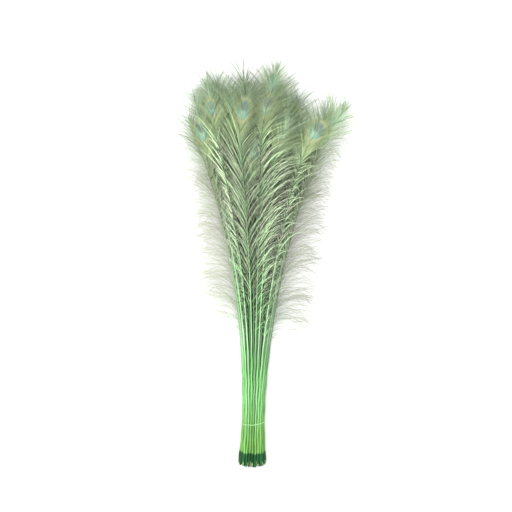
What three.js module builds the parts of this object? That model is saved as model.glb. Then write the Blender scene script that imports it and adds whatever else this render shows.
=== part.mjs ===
// A tied bunch of dyed peacock tail feathers, lying on a flat surface.
// Millimetres. +Y runs from the cut quill ends to the feather tips, +X to the right, +Z up.
// Distances along a feather are counted from the tie, and are negative towards the cut ends.

import * as THREE from "three";
import { mergeVertices } from "three/addons/utils/BufferGeometryUtils.js";

// The bunch at the tie: layers of quills, from the surface up
const LAYER_COUNTS = [8, 9, 10, 9, 8, 7];
const QUILL_RADIUS = 2.05;
const QUILL_SPACING = 4.67;
const LAYER_PITCH = 4.05;
const LOWEST_AXIS = 3.3;

// Below the tie the quills flare out and sink to the surface
const BUTT_LENGTH = 83;
const BUTT_FLARE = 0.27;
const BUTT_RADIUS = 1.75;
const BUTT_ARCH = 5;
const BUTT_UNEVEN = 3;

// Above the tie they fan out sideways and the layers part
const FAN_LENGTH = 620;
const FAN_WIDTH = 123;
const FAN_LEAN = 17.7;
const FAN_LIFT = 10;
const FAN_LIFT_POWER = 1.2;
const LOWEST_AXIS_SHARE = 0.365;

// One feather: its shaft, and the loose barbs as two thin vanes
const SHAFT_LENGTH = 700;
const SHAFT_TIP_RADIUS = 0.6;
const QUILL_STATION = 80;
const VANE_START = 158;
const VANE_START_SPREAD = 75;
const VANE_THICKNESS = 0.9;
const VANE_CLEARANCE = 0.4;
const LEAST_VANE = 1.2;
const SHINGLE_CLEARANCE = 1.1;
const EYE_TO_TIP = 54;
const CURL_LENGTH = 75;

// The vane's outline at shares of its length: half width, half width on the bunch's rim, droop on its right rim
const VANE_OUTLINE = [
  { share: 0, inner: 0, rim: 0, droop: 0 },
  { share: 0.07, inner: 45, rim: 70, droop: 30 },
  { share: 0.24, inner: 62, rim: 83, droop: 10 },
  { share: 0.45, inner: 60, rim: 76, droop: 0 },
  { share: 0.65, inner: 52, rim: 64, droop: 0 },
  { share: 0.8, inner: 42, rim: 54, droop: 0 },
  { share: 0.9, inner: 36, rim: 46, droop: 0 },
  { share: 0.97, inner: 25, rim: 28, droop: 0 },
  { share: 1, inner: 7, rim: 7, droop: 0 },
];

// Eyes that show from above, left to right: place across, distance from the tie, and the head's own turn
const TOP_LAYER_EYES = [
  { across: -98, distance: 565, turn: 4 },
  { across: -80, distance: 610, turn: 7 },
  { across: -19, distance: 604, turn: 20 },
  { across: 26, distance: 612, turn: 13 },
  { across: 54, distance: 555, turn: 20 },
  { across: 115, distance: 557, turn: 16 },
  { across: 155, distance: 580, turn: 15 },
];
const NEXT_LAYER_EYES = [
  { across: -112, distance: 560, turn: 0 },
  { across: -70, distance: 590, turn: 0 },
  { across: -40, distance: 614, turn: 5 },
  { across: 2, distance: 531, turn: 10 },
  { across: 39, distance: 660, turn: 10 },
  { across: 62, distance: 600, turn: 0 },
  { across: 98, distance: 545, turn: 0 },
  { across: 140, distance: 575, turn: 0 },
];

// The eyes beneath them follow the fan's outline, with a notch right of its middle
const LONGEST_TIP = 705;
const EDGE_SHORTER = 45;
const NOTCH_DEPTH = 85;
const NOTCH_PLACE = 0.68;
const NOTCH_WIDTH = 0.22;
const LENGTH_SPREAD = 125;
const SCATTER_START = 0.87;

// The thread round the quills
const THREAD_RADIUS = 0.45;
const THREAD_GAP = 0.3;
const THREAD_BOW = 0.0085;
const THREAD_BOW_MIDDLE = -5;
const THREAD_STEPS = 24;
const THREAD_SIDES = 4;

const SECTION_SIDES = 8;
const QUAD_INDICES = 6;
const GOLDEN = 0.618034;
const FEATHER_COLOUR = { hue: 0.27, saturation: 0.24, lightness: 0.58, spread: 0.12 };
const THREAD_COLOUR = 0xd6f0d2;

const topLayer = LAYER_COUNTS.length - 1;
const widestCount = Math.max(...LAYER_COUNTS);
const chosenEyes = { [topLayer]: TOP_LAYER_EYES, [topLayer - 1]: NEXT_LAYER_EYES };

// Shapes that every feather shares, by the distance from the tie

const fanShare = (distance) => Math.max(distance, 0) / FAN_LENGTH;
const buttShare = (distance) => Math.max(-distance, 0) / BUTT_LENGTH;
const buttFlare = (distance) => 1 + BUTT_FLARE * buttShare(distance) ** 2;
const fanWidth = (distance) => FAN_WIDTH * fanShare(distance) ** 2;
const fanLean = (distance) => (FAN_LEAN * distance) / FAN_LENGTH;
const layerLift = (distance) => FAN_LIFT * fanShare(distance) ** FAN_LIFT_POWER;
const layerPitch = (distance) => LAYER_PITCH * buttFlare(distance) + layerLift(distance);

function layerHeight(layer, distance) {
  const sunk = (LOWEST_AXIS - QUILL_RADIUS) * buttShare(distance);
  const lowest = LOWEST_AXIS - sunk + LOWEST_AXIS_SHARE * layerLift(distance);
  return lowest + layer * layerPitch(distance);
}

function shaftRadius(distance) {
  if (distance < 0) {
    return THREE.MathUtils.lerp(QUILL_RADIUS, BUTT_RADIUS, buttShare(distance));
  }
  return THREE.MathUtils.lerp(QUILL_RADIUS, SHAFT_TIP_RADIUS, distance / SHAFT_LENGTH);
}

// Neighbours in a layer lie like shingles: each vane climbs over the shaft on its right.
function shingleSlope(distance) {
  const spacing = QUILL_SPACING + (2 / (widestCount - 1)) * fanWidth(distance);
  return (shaftRadius(distance) + SHINGLE_CLEARANCE) / spacing;
}

// The widest half vane that stays inside its own layer
function widestVane(distance) {
  const room = layerPitch(distance) - VANE_THICKNESS - VANE_CLEARANCE;
  return room / (2 * shingleSlope(distance));
}

// Where each feather goes

const seatOf = (layer, column) => (column - (LAYER_COUNTS[layer] - 1) / 2) * QUILL_SPACING;
const widestSeat = ((widestCount - 1) / 2) * QUILL_SPACING;

function outlineEye(seat, scatter) {
  const fan = seat / widestSeat;
  const notch = NOTCH_DEPTH * Math.exp(-(((fan - NOTCH_PLACE) / NOTCH_WIDTH) ** 2));
  const tip = LONGEST_TIP - EDGE_SHORTER * fan ** 4 - notch;
  const distance = tip - EYE_TO_TIP - LENGTH_SPREAD * scatter;
  return { across: fanLean(distance) + seat + fan * fanWidth(distance), distance, turn: 0 };
}

function planFeather(layer, column, count) {
  const seat = seatOf(layer, column);
  const scatter = (SCATTER_START + count * GOLDEN) % 1;
  const eye = chosenEyes[layer]?.[column] ?? outlineEye(seat, scatter);
  const turnSlope = Math.tan(THREE.MathUtils.degToRad(eye.turn));
  const swing = eye.across - fanLean(eye.distance) - seat - (turnSlope * CURL_LENGTH) / 2;
  return {
    layer,
    seat,
    swing: swing / fanWidth(eye.distance),
    turnSlope,
    eyeDistance: eye.distance,
    butt: -BUTT_LENGTH + BUTT_ARCH * (seat / widestSeat) ** 2 + BUTT_UNEVEN * scatter,
    vaneStart: VANE_START + VANE_START_SPREAD * ((count * GOLDEN ** 2) % 1),
    onLeftRim: column === 0,
    onRightRim: column === LAYER_COUNTS[layer] - 1,
  };
}

function shaftX(feather, distance) {
  const curlRun = Math.max(distance - feather.eyeDistance + CURL_LENGTH, 0);
  const curled = (feather.turnSlope * curlRun ** 2) / (2 * CURL_LENGTH);
  const spread = feather.seat * buttFlare(distance) + feather.swing * fanWidth(distance);
  return fanLean(distance) + spread + curled;
}

function shaftTurn(feather, distance) {
  const step = 1;
  const run = shaftX(feather, distance + step) - shaftX(feather, distance - step);
  return Math.atan2(run, 2 * step);
}

// The stations along a feather: bare quill, then vanes with a reach, droop and slope to either side
function stationsOf(feather) {
  const bare = [feather.butt, 0, QUILL_STATION].map((distance) => ({ distance, vanes: null }));
  const vaned = VANE_OUTLINE.map(({ share, inner, rim, droop }) => {
    const tip = feather.eyeDistance + EYE_TO_TIP;
    const distance = THREE.MathUtils.lerp(feather.vaneStart, tip, share);
    const leastReach = shaftRadius(distance) + LEAST_VANE;
    const vane = (onRim, rimDroop) => ({
      reach: Math.max(onRim ? rim : Math.min(inner, widestVane(distance)), leastReach),
      droop: onRim ? rimDroop : 0,
      slope: onRim ? 0 : shingleSlope(distance),
    });
    const left = vane(feather.onLeftRim, 0);
    const right = vane(feather.onRightRim, droop);
    return { distance, vanes: { left, right } };
  });
  return [...bare, ...vaned];
}

// A corner of the section: of a round quill, or of a rib with a thin vane on either side
function sectionCorner({ distance, vanes }, across, up) {
  const radius = shaftRadius(distance);
  if (Math.hypot(across, up) < 0.5) {
    return { offset: 0, rise: 0, droop: 0, slope: 0 };
  }
  if (!vanes || Math.abs(up) > 0.9) {
    return { offset: radius * across, rise: radius * up, droop: 0, slope: 0 };
  }
  const { reach, droop, slope } = across > 0 ? vanes.right : vanes.left;
  if (Math.abs(across) > 0.9) {
    return { offset: reach * across, rise: 0, droop, slope };
  }
  const rise = (Math.sign(up) * VANE_THICKNESS) / 2;
  return { offset: radius * Math.sign(across), rise, droop: 0, slope };
}

function placeCorner(feather, distance, { offset, rise, droop, slope }) {
  const turn = shaftTurn(feather, distance);
  const x = shaftX(feather, distance) + offset * Math.cos(turn);
  const y = distance - offset * Math.sin(turn) - droop;
  const z = layerHeight(feather.layer, y) + rise + offset * slope;
  return [x, y, z];
}

// The underside is split along the same diagonals as the top, so that a twisted vane keeps its thickness.
function matchDiagonals(indices, steps) {
  const firstQuad = (SECTION_SIDES / 4) * steps;
  const endQuad = firstQuad + (SECTION_SIDES / 2) * steps;
  for (let quad = firstQuad; quad < endQuad; quad++) {
    const start = quad * QUAD_INDICES;
    const [a, b, d, , c] = indices.subarray(start, start + QUAD_INDICES);
    indices.set([a, b, c, a, c, d], start);
  }
}

// A feather is a cylinder whose rings are drawn out along the shaft and flattened into vanes.
function featherGeometry(feather) {
  const stations = stationsOf(feather);
  const steps = stations.length - 1;
  const geometry = new THREE.CylinderGeometry(1, 1, 1, SECTION_SIDES, steps);
  geometry.deleteAttribute("normal");
  geometry.deleteAttribute("uv");
  matchDiagonals(geometry.index.array, steps);
  const position = geometry.getAttribute("position");
  for (let i = 0; i < position.count; i++) {
    const station = stations[Math.round((position.getY(i) + 0.5) * steps)];
    const corner = sectionCorner(station, position.getX(i), position.getZ(i));
    position.setXYZ(i, ...placeCorner(feather, station.distance, corner));
  }
  return mergeVertices(geometry);
}

// The thread lies tight round all the quills: a polygon of lines that just clear them on every side.
function threadCorners() {
  const seats = LAYER_COUNTS.flatMap((columns, layer) => {
    const height = layerHeight(layer, 0);
    return Array.from({ length: columns }, (_, column) => [seatOf(layer, column), height]);
  });
  const clear = QUILL_RADIUS + THREAD_GAP + THREAD_RADIUS;
  const stepAngle = (2 * Math.PI) / THREAD_STEPS;
  const lines = Array.from({ length: THREAD_STEPS }, (_, i) => {
    const cos = Math.cos(i * stepAngle);
    const sin = Math.sin(i * stepAngle);
    const reach = clear + Math.max(...seats.map(([x, z]) => x * cos + z * sin));
    return { cos, sin, reach };
  });
  return lines.map((line, i) => {
    const next = lines[(i + 1) % THREAD_STEPS];
    const x = (line.reach * next.sin - next.reach * line.sin) / Math.sin(stepAngle);
    const z = (next.reach * line.cos - line.reach * next.cos) / Math.sin(stepAngle);
    return { x, z, facing: (i + 0.5) * stepAngle };
  });
}

function threadGeometry() {
  const corners = threadCorners();
  const geometry = new THREE.TorusGeometry(1, THREAD_RADIUS, THREAD_SIDES, THREAD_STEPS);
  geometry.deleteAttribute("normal");
  geometry.deleteAttribute("uv");
  const position = geometry.getAttribute("position");
  for (let i = 0; i < position.count; i++) {
    const angle = Math.atan2(position.getY(i), position.getX(i));
    const step = Math.round((angle / (2 * Math.PI)) * THREAD_STEPS);
    const corner = corners.at(step % THREAD_STEPS);
    const outward = Math.hypot(position.getX(i), position.getY(i)) - 1;
    const x = corner.x + outward * Math.cos(corner.facing);
    const z = corner.z + outward * Math.sin(corner.facing);
    const rise = THREAD_BOW * (corner.x - THREAD_BOW_MIDDLE) ** 2;
    position.setXYZ(i, x, rise - position.getZ(i), z);
  }
  return mergeVertices(geometry);
}

// The finished pieces

function featherMaterial(count) {
  const { hue, saturation, lightness, spread } = FEATHER_COLOUR;
  const shade = lightness + spread * (((count * GOLDEN) % 1) - 0.5);
  const color = new THREE.Color().setHSL(hue, saturation, shade);
  return new THREE.MeshStandardMaterial({ color, roughness: 0.75, metalness: 0 });
}

const bunch = new THREE.Group();
let count = 0;
LAYER_COUNTS.forEach((columns, layer) => {
  for (let column = 0; column < columns; column++) {
    count += 1;
    const geometry = featherGeometry(planFeather(layer, column, count));
    const feather = new THREE.Mesh(geometry, featherMaterial(count));
    feather.name = `feather_${String(count).padStart(2, "0")}`;
    bunch.add(feather);
  }
});

const threadMaterial = new THREE.MeshStandardMaterial({
  color: THREAD_COLOUR,
  roughness: 0.6,
  metalness: 0,
});
const thread = new THREE.Mesh(threadGeometry(), threadMaterial);
thread.name = "tie_thread";
bunch.add(thread);

// The origin lies under the middle of the bunch's outer box.
const outerBox = new THREE.Box3().setFromObject(bunch);
const middle = outerBox.getCenter(new THREE.Vector3());
bunch.position.set(-middle.x, -middle.y, -outerBox.min.z);

const part = new THREE.Group();
part.add(bunch);

export default part;
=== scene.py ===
# %% [markdown]
# # A tied bunch of dyed peacock feathers
# Fifty-one tail feathers, bleached and dyed a soft green, lie in a bunch with a thread round their
# quills. The solids of the frame give every feather its place, its curve and the reach of its vanes.
# This lesson keeps those places and grows what the solids only outline: shafts, loose barbs and eyes.

# %% Load the frame and keep its box
import math

import bmesh
import bpy
import numpy as np
from mathutils import Matrix, Vector


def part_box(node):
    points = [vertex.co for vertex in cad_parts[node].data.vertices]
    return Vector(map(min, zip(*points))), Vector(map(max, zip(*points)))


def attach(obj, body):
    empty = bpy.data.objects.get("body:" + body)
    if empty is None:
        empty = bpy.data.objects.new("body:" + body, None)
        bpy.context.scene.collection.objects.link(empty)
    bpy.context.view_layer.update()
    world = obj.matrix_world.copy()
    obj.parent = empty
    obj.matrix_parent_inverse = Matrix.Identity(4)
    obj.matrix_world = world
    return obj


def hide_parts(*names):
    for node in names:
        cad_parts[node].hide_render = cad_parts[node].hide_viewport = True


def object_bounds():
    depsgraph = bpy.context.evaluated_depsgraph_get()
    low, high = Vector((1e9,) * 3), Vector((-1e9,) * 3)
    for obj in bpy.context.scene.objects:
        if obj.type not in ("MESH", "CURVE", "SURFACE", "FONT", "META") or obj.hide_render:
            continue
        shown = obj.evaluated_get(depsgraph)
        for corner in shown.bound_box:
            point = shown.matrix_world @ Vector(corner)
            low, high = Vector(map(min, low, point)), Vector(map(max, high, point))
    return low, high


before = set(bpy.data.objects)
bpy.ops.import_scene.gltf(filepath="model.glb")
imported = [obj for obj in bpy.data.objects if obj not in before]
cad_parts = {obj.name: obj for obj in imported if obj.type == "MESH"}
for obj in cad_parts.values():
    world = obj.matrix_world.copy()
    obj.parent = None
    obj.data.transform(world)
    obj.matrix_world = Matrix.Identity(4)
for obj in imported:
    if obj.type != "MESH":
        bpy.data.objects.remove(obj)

MM = 0.001
cad_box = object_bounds()
feather_names = sorted(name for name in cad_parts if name.startswith("feather_"))
print(f"{len(feather_names)} feathers, box {[round(v, 3) for v in cad_box[1] - cad_box[0]]} m")

# %% [markdown]
# ## The camera
# The bunch lies down, so the camera hangs straight above it and looks down, with the eyes at the top of
# the picture. A long lens keeps the thick fan from swelling towards the viewer. The picture's scale and
# the place of its middle are counted from the thread, which is the easiest point to find both in a
# picture and in the frame.

# %% Camera
PICTURE_SIDE = 988 * MM
PICTURE_RIGHT_OF_TIE = 5.4 * MM
PICTURE_ABOVE_TIE = 324 * MM
LENS = 135
SENSOR = 36

tie_low, tie_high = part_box("tie_thread")
tie = (tie_low + tie_high) / 2
fan_middle_height = (cad_box[0].z + cad_box[1].z) / 2

camera = bpy.data.objects.new("camera", bpy.data.cameras.new("camera"))
bpy.context.scene.collection.objects.link(camera)
camera.data.lens = LENS
camera.data.sensor_width = SENSOR
camera.location = (
    tie.x + PICTURE_RIGHT_OF_TIE,
    tie.y + PICTURE_ABOVE_TIE,
    fan_middle_height + PICTURE_SIDE * LENS / SENSOR,
)
bpy.context.scene.camera = camera
print(f"camera {camera.location.z:.2f} m above the floor")

# %% [markdown]
# ## Finishes as Python expressions
# Feather colours are layers of masks: how far along a barb, how far from the eye, which strand. Wiring
# dozens of Math nodes by hand hides that idea, so a small class wraps a socket and turns Python's
# operators into nodes.

# %% Shader expressions
class Shade:
    """A socket in a material's nodes; an expression on it adds Math nodes."""

    def __init__(self, tree, socket=None):
        self.tree = tree
        self.socket = socket

    def node(self, kind, settings=(), sockets=(), output=0):
        made = self.tree.nodes.new(kind)
        for name, value in dict(settings).items():
            setattr(made, name, value)
        for name, value in dict(sockets).items():
            if isinstance(value, Shade):
                self.tree.links.new(value.socket, made.inputs[name])
            else:
                made.inputs[name].default_value = value
        return Shade(self.tree, made.outputs[output])

    def maths(self, operation, first, second=0.0):
        return self.node("ShaderNodeMath", {"operation": operation}, {0: first, 1: second})

    def __add__(self, other):
        return self.maths("ADD", self, other)

    def __sub__(self, other):
        return self.maths("SUBTRACT", self, other)

    def __rsub__(self, other):
        return self.maths("SUBTRACT", other, self)

    def __mul__(self, other):
        return self.maths("MULTIPLY", self, other)

    def __truediv__(self, other):
        return self.maths("DIVIDE", self, other)

    def __pow__(self, other):
        return self.maths("POWER", self, other)

    __radd__ = __add__
    __rmul__ = __mul__

    def rises(self, low, high):
        """0 below low, 1 above high, smooth between."""
        ends = {"Value": self, "From Min": low, "From Max": high}
        return self.node("ShaderNodeMapRange", {"interpolation_type": "SMOOTHSTEP"}, ends)

    def blend(self, first, second):
        """The first colour where this value is 0, the second where it is 1."""
        return self.node("ShaderNodeMix", {"data_type": "RGBA"}, {0: self, 6: first, 7: second}, output=2)

    def tinted(self, strength):
        """This colour, made darker or brighter by a value."""
        settings = {"operation": "SCALE"}
        return self.node("ShaderNodeVectorMath", settings, {0: self, "Scale": strength})

    def attribute(self, name):
        """The three values of a point attribute of the mesh."""
        vector = self.node("ShaderNodeAttribute", {"attribute_name": name}, output="Vector")
        return [self.node("ShaderNodeSeparateXYZ", (), {0: vector}, output=axis) for axis in "XYZ"]


def dye(red, green, blue):
    """A colour as seen on a screen, 0 to 255, in the linear values that shaders use."""
    shares = [value / 255 for value in (red, green, blue)]
    linear = [s / 12.92 if s <= 0.04045 else ((s + 0.055) / 1.055) ** 2.4 for s in shares]
    return (*linear, 1.0)


def new_finish(name):
    """A material, the start of its expressions and its Principled shader."""
    material = bpy.data.materials.new(name)
    material.use_nodes = True
    surface = material.node_tree.nodes["Principled BSDF"]
    return material, Shade(material.node_tree), surface


def feed(surface, socket_name, shade):
    shade.tree.links.new(shade.socket, surface.inputs[socket_name])


print("half grey on a screen in linear values:", round(dye(128, 128, 128)[0], 3))

# %% [markdown]
# ## Floor and light
# The bunch is shown on a plain white sheet under a broad soft light from above, with a little more from
# the upper left so that strands and quills have a lit side. The floor is bright enough that shadows
# stay faint.

# %% Floor and light
FLOOR_SIDE = 8.0
FLOOR_COLOUR = (0.9, 0.9, 0.9, 1.0)
SKY_STRENGTH = 0.95
KEY_WATTS = 92
KEY_SIDE = 3.2
KEY_PLACE = Vector((-0.45, 0.4, 2.8))

mesh = bpy.data.meshes.new("floor")
bm = bmesh.new()
bmesh.ops.create_grid(bm, x_segments=1, y_segments=1, size=FLOOR_SIDE / 2)
bm.to_mesh(mesh)
bm.free()
floor = bpy.data.objects.new("floor", mesh)
bpy.context.scene.collection.objects.link(floor)
floor_finish, _, surface = new_finish("white_sheet")
surface.inputs["Base Color"].default_value = FLOOR_COLOUR
surface.inputs["Roughness"].default_value = 0.9
surface.inputs["Specular IOR Level"].default_value = 0.1
mesh.materials.append(floor_finish)

world = bpy.data.worlds.new("soft_room")
world.use_nodes = True
world.node_tree.nodes["Background"].inputs["Color"].default_value = (1, 1, 1, 1)
world.node_tree.nodes["Background"].inputs["Strength"].default_value = SKY_STRENGTH
bpy.context.scene.world = world
bpy.context.scene.view_settings.view_transform = "Standard"

key = bpy.data.objects.new("key_light", bpy.data.lights.new("key_light", "AREA"))
key.data.energy = KEY_WATTS
key.data.size = KEY_SIDE
key.location = KEY_PLACE
key.rotation_euler = (-KEY_PLACE).to_track_quat("-Z", "Y").to_euler()
bpy.context.scene.collection.objects.link(key)
print("floor, sky and one key light")

# %% [markdown]
# ## Reading a feather from its solid
# Each solid is a tube of eight-cornered rings: round in the quill, drawn out to thin vanes above.
# Counting edges outwards from the middle of the cut end sorts its points into those rings. A ring's
# middle lies on the shaft, and its two farthest corners are the edges of the vanes. That is all a
# feather needs to grow along.

# %% Rings of a feather
RING_SIDES = 8


def rings_of(node):
    """The corners of each ring, in order round it, from the cut end to the tip."""
    bm = bmesh.new()
    bm.from_mesh(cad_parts[node].data)
    bmesh.ops.remove_doubles(bm, verts=bm.verts, dist=0.001 * MM)
    caps = [v for v in bm.verts if len(v.link_edges) == RING_SIDES]
    cut_end = min(caps, key=lambda v: v.co.y)
    seen = {cut_end}
    layer = [cut_end]
    rings = []
    while True:
        reached = {e.other_vert(v) for v in layer for e in v.link_edges} - seen
        if len(reached) < RING_SIDES:
            break
        loop = [min(reached, key=lambda v: v.co.x)]
        while len(loop) < RING_SIDES:
            beside = [e.other_vert(loop[-1]) for e in loop[-1].link_edges]
            loop.append(next(v for v in beside if v in reached and v not in loop))
        rings.append([tuple(v.co) for v in loop])
        seen |= reached
        layer = list(reached)
    bm.free()
    return np.array(rings)


def read_feather(node):
    """Middles of the rings, and the left and right corners that lie farthest apart."""
    half = RING_SIDES // 2
    quarter = half // 2
    middles, lefts, rights = [], [], []
    for ring in rings_of(node):
        spans = np.linalg.norm(ring[:half] - ring[half:], axis=1)
        widest = int(np.argmax(spans))
        rib = ring[(widest + quarter) % RING_SIDES], ring[(widest + half + quarter) % RING_SIDES]
        edges = sorted((ring[widest], ring[widest + half]), key=lambda p: p[0])
        middles.append(np.mean(rib, axis=0))
        lefts.append(edges[0])
        rights.append(edges[1])
    return np.array(middles), np.array(lefts), np.array(rights)


skeletons = {name: read_feather(name) for name in feather_names}
ring_counts = {len(middles) for middles, _, _ in skeletons.values()}
print(f"rings in a feather: {sorted(ring_counts)}")

# %% [markdown]
# ## Where a feather lies in the bunch
# Feathers inside the bunch get little light, so their colours are darkened with painted shade, and
# those on its rim have free vanes. Their heights at the tie sort the feathers into layers, and their
# order across a layer tells the rim from the middle.

# %% Layers and depth
TIE_RING = 1
SIDES = (-1, 1)


def seats_in_bunch():
    """For each feather: how many neighbours lie outside it, and the outermost feathers of its layer."""
    at_tie = {name: skeletons[name][0][TIE_RING] for name in feather_names}
    heights = sorted({round(point[2], 4) for point in at_tie.values()})
    seats = {}
    for level, height in enumerate(heights):
        row = [name for name in feather_names if round(at_tie[name][2], 4) == height]
        row.sort(key=lambda name: at_tie[name][0])
        for column, name in enumerate(row):
            outside = min(level, len(heights) - 1 - level, column, len(row) - 1 - column)
            seats[name] = outside, {-1: row[0], 1: row[-1]}
    return seats


seats = seats_in_bunch()
depths = [depth for depth, _ in seats.values()]
print("feathers by depth:", [depths.count(depth) for depth in range(max(depths) + 1)])

# %% [markdown]
# ## Rails
# A handful of rings is enough for a solid, but strands need smooth curves between them. A rail is a
# curve through known points that can be asked for its place at any distance along the shaft.

# %% Rails
RAIL_STEPS = 260


class Rail:
    """A smooth curve through points, measured by a distance."""

    def __init__(self, distances, points):
        slopes = np.gradient(points, distances, axis=0)
        self.fine = np.linspace(distances[0], distances[-1], RAIL_STEPS)
        i = np.clip(np.searchsorted(distances, self.fine) - 1, 0, len(distances) - 2)
        gap = (distances[i + 1] - distances[i])[:, None]
        t = (self.fine - distances[i])[:, None] / gap
        start = (1 + 2 * t) * (1 - t) ** 2 * points[i] + t * (1 - t) ** 2 * gap * slopes[i]
        end = t * t * (3 - 2 * t) * points[i + 1] + t * t * (t - 1) * gap * slopes[i + 1]
        self.curve = start + end

    def at(self, distance):
        return np.stack([np.interp(distance, self.fine, self.curve[:, k]) for k in range(3)], axis=-1)

    def along(self, distance):
        """Unit direction of the curve."""
        step = 1 * MM
        inside = np.clip(distance, self.fine[0] + step, self.fine[-1] - step)
        run = self.at(inside + step) - self.at(inside - step)
        return run / np.linalg.norm(run, axis=-1, keepdims=True)


run = Rail(np.array([0.0, 1.0, 3.0]), np.array([[0, 0, 0], [0, 1, 0.2], [0, 3, 0.0]]))
print(f"a rail of {len(run.curve)} points, {run.at(2.0).round(2)} at a distance of 2")

# %% [markdown]
# ## One feather
# Everything that grows on a feather is placed by a distance along its shaft, so each feather keeps
# those that matter: the tie, the start of its vanes, its eye and its tip. It also knows how deep it
# lies, which of its sides is free, and which side points away from the front feather.

# %% Feathers
FIRST_VANE_RING = 3
EYE_TO_TIP = 54 * MM
SHAFT_PAST_EYE = 24 * MM
FRONT_FEATHER = "feather_47"
BESIDE_FRONT = 1 * MM
# Painted shade: how much a feather's colour is darkened for each feather that lies outside it.
GLOOM_BY_DEPTH = (0.0, 0.58, 0.97)


class Feather:
    """The rails of one feather and the distances along its shaft that matter."""

    def __init__(self, name):
        middles, lefts, rights = skeletons[name]
        steps = np.linalg.norm(np.diff(middles, axis=0), axis=1)
        distances = np.concatenate([[0], np.cumsum(steps)])
        vaned = slice(FIRST_VANE_RING, None)
        self.name = name
        self.number = int(name.split("_")[1])
        self.shaft = Rail(distances, middles)
        self.edges = {-1: Rail(distances[vaned], lefts[vaned]), 1: Rail(distances[vaned], rights[vaned])}
        self.tie = distances[TIE_RING]
        self.vane_start = distances[FIRST_VANE_RING]
        self.tip = distances[-1]
        self.eye = self.tip - EYE_TO_TIP
        self.shaft_end = self.eye + SHAFT_PAST_EYE
        depth, self.rims = seats[name]
        self.gloom = GLOOM_BY_DEPTH[depth]
        self.free = {side: self.rims[side] == name for side in SIDES}
        from_front = middles[TIE_RING][0] - skeletons[FRONT_FEATHER][0][TIE_RING][0]
        self.outward = {side: side * from_front > -BESIDE_FRONT for side in SIDES}


feathers = [Feather(name) for name in feather_names]
by_name = {feather.name: feather for feather in feathers}
print(f"shafts {min(f.tip for f in feathers):.3f} to {max(f.tip for f in feathers):.3f} m long")

# %% [markdown]
# ## The shaft
# A tail feather's shaft is a smooth tapering rod: a hollow quill at the cut end, a hair at the eye. A
# curve with a bevel would do, but a circle of edges that is extruded step by step keeps the cut end
# open to model, and each step can hold the distance that its colour depends on. The quills waver a
# little, painted lines of shade and highlight run along them for shallow grooves, and the knife cut
# them aslant.

# %% Shaft sections
QUILL_STEPS = 34
UPPER_STEPS = 18
QUILL_END = 270 * MM
QUILL_RADIUS = 1.95 * MM
CUT_RADIUS = 1.75 * MM
SHAFT_TIP_RADIUS = 0.3 * MM
SHAFT_TAPER = 0.72
CUT_TAPER = 30 * MM
CUT_STOPS = np.array([0, 1.2, 15, 20, 24, 28, 32]) * MM
CUT_SLANTED = (1, 1, 0.3, 0, 0, 0, 0)
CUT_SLANTS = (-2.5, 4.0)
CUT_LEANS = (-0.7, 0.7)
WAVER = 0.45 * MM
WAVER_LENGTHS = (30 * MM, 60 * MM)
WAVER_CALM = 15 * MM
WAVER_FADE = (170 * MM, 300 * MM)


def waver(feather, rng):
    """A function that gives a quill's small swing sideways and up at a distance."""
    lengths = rng.uniform(*WAVER_LENGTHS, 2)
    phases = rng.uniform(0, 2 * math.pi, 2)

    def swing(distance):
        calm = min(abs(distance - feather.tie) / WAVER_CALM, 1)
        fade = np.interp(distance, WAVER_FADE, (1, 0))
        return WAVER * calm * fade * np.sin(2 * math.pi * distance / lengths + phases)

    return swing


def shaft_frame(feather, distance, swing, slant):
    """A matrix that carries a unit circle to the shaft's section at a distance, cut aslant."""
    along = Vector(feather.shaft.along(distance))
    side = along.cross(Vector((0, 0, 1))).normalized()
    up = side.cross(along)
    sideways, upwards = swing(distance)
    thinned = (distance / feather.shaft_end) ** SHAFT_TAPER
    body = QUILL_RADIUS + (SHAFT_TIP_RADIUS - QUILL_RADIUS) * thinned
    radius = body + (CUT_RADIUS - body) * max(0, 1 - distance / CUT_TAPER)
    centre = Vector(feather.shaft.at(distance)) + side * sideways + up * upwards
    centre += along * slant.length * radius
    columns = ((side + along * slant.x) * radius, (up + along * slant.y) * radius, along)
    return Matrix.Translation(centre) @ Matrix(columns).transposed().to_4x4()


def shaft_frames(feather, rng):
    """The distances of the shaft's sections and their matrices."""
    swing = waver(feather, rng)
    slant = Vector((rng.uniform(*CUT_LEANS), rng.uniform(*CUT_SLANTS)))
    quill = np.linspace(CUT_STOPS[-1], QUILL_END, QUILL_STEPS)[1:]
    above = np.concatenate([quill, np.linspace(QUILL_END, feather.shaft_end, UPPER_STEPS)[1:]])
    stops = np.concatenate([CUT_STOPS, above])
    slanted = np.concatenate([CUT_SLANTED, np.zeros(len(above))])
    return stops, [shaft_frame(feather, stop, swing, slant * part) for stop, part in zip(stops, slanted)]


stops, _ = shaft_frames(feathers[0], np.random.default_rng(0))
print(f"a shaft has {len(stops)} sections, the last at {stops[-1] / MM:.0f} mm")

# %% [markdown]
# ## Drawing the shaft
# One circle of edges is moved to the first section and extruded from section to section. Each new ring
# keeps the painted groove shading of its corners and is given its distance from the cut. At the cut the
# end face is inset for the wall of the quill and pushed in, which leaves a short bore.

# %% Shaft mesh
SHAFT_SIDES = 8
CUT_WALL = 1.1 * MM
CUT_DEPTH = 4 * MM
INSIDE_CUT = -5 * MM


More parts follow.
